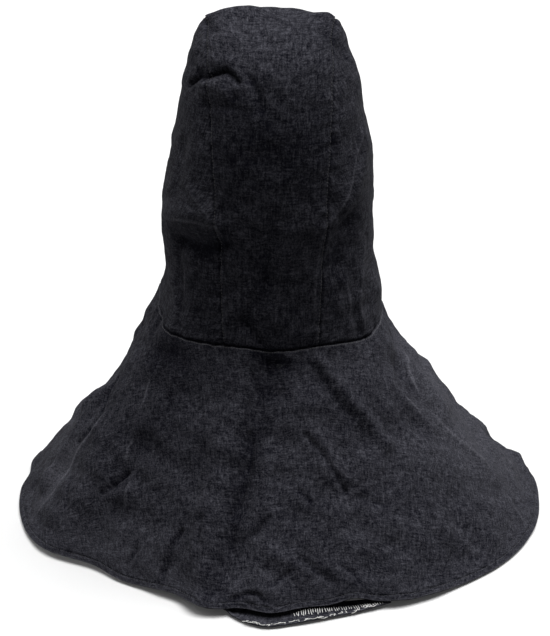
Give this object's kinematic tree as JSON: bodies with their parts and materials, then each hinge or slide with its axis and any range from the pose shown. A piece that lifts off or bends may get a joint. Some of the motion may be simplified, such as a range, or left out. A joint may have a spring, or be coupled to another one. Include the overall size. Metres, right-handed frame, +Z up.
{
  "type": "denim welding hood",
  "caption": "Soft denim hood with an open face, a head bag of sewn panels and a flared shoulder cape standing on its stitched hem; shields head, neck and shoulders.",
  "frame": {"origin": "on the floor, below the middle of the whole hood's bounding box", "axes": "+Z up from the hem to the crown, -Y out of the back of the hood that the picture shows, +Y out of the face opening, +X to the right as the picture shows it"},
  "size_m": [0.592, 0.572, 0.5669],
  "materials": {
    "denim": "matt twill",
    "denim_thread": "matt sewing thread",
    "white_thread": "matt overlock thread"
  },
  "bodies": {
    "root": {"centre_panel": "denim", "side_panel_left": "denim", "side_panel_right": "denim", "cape": "denim", "hem_flap": "denim"}
  },
  "joints": []
}
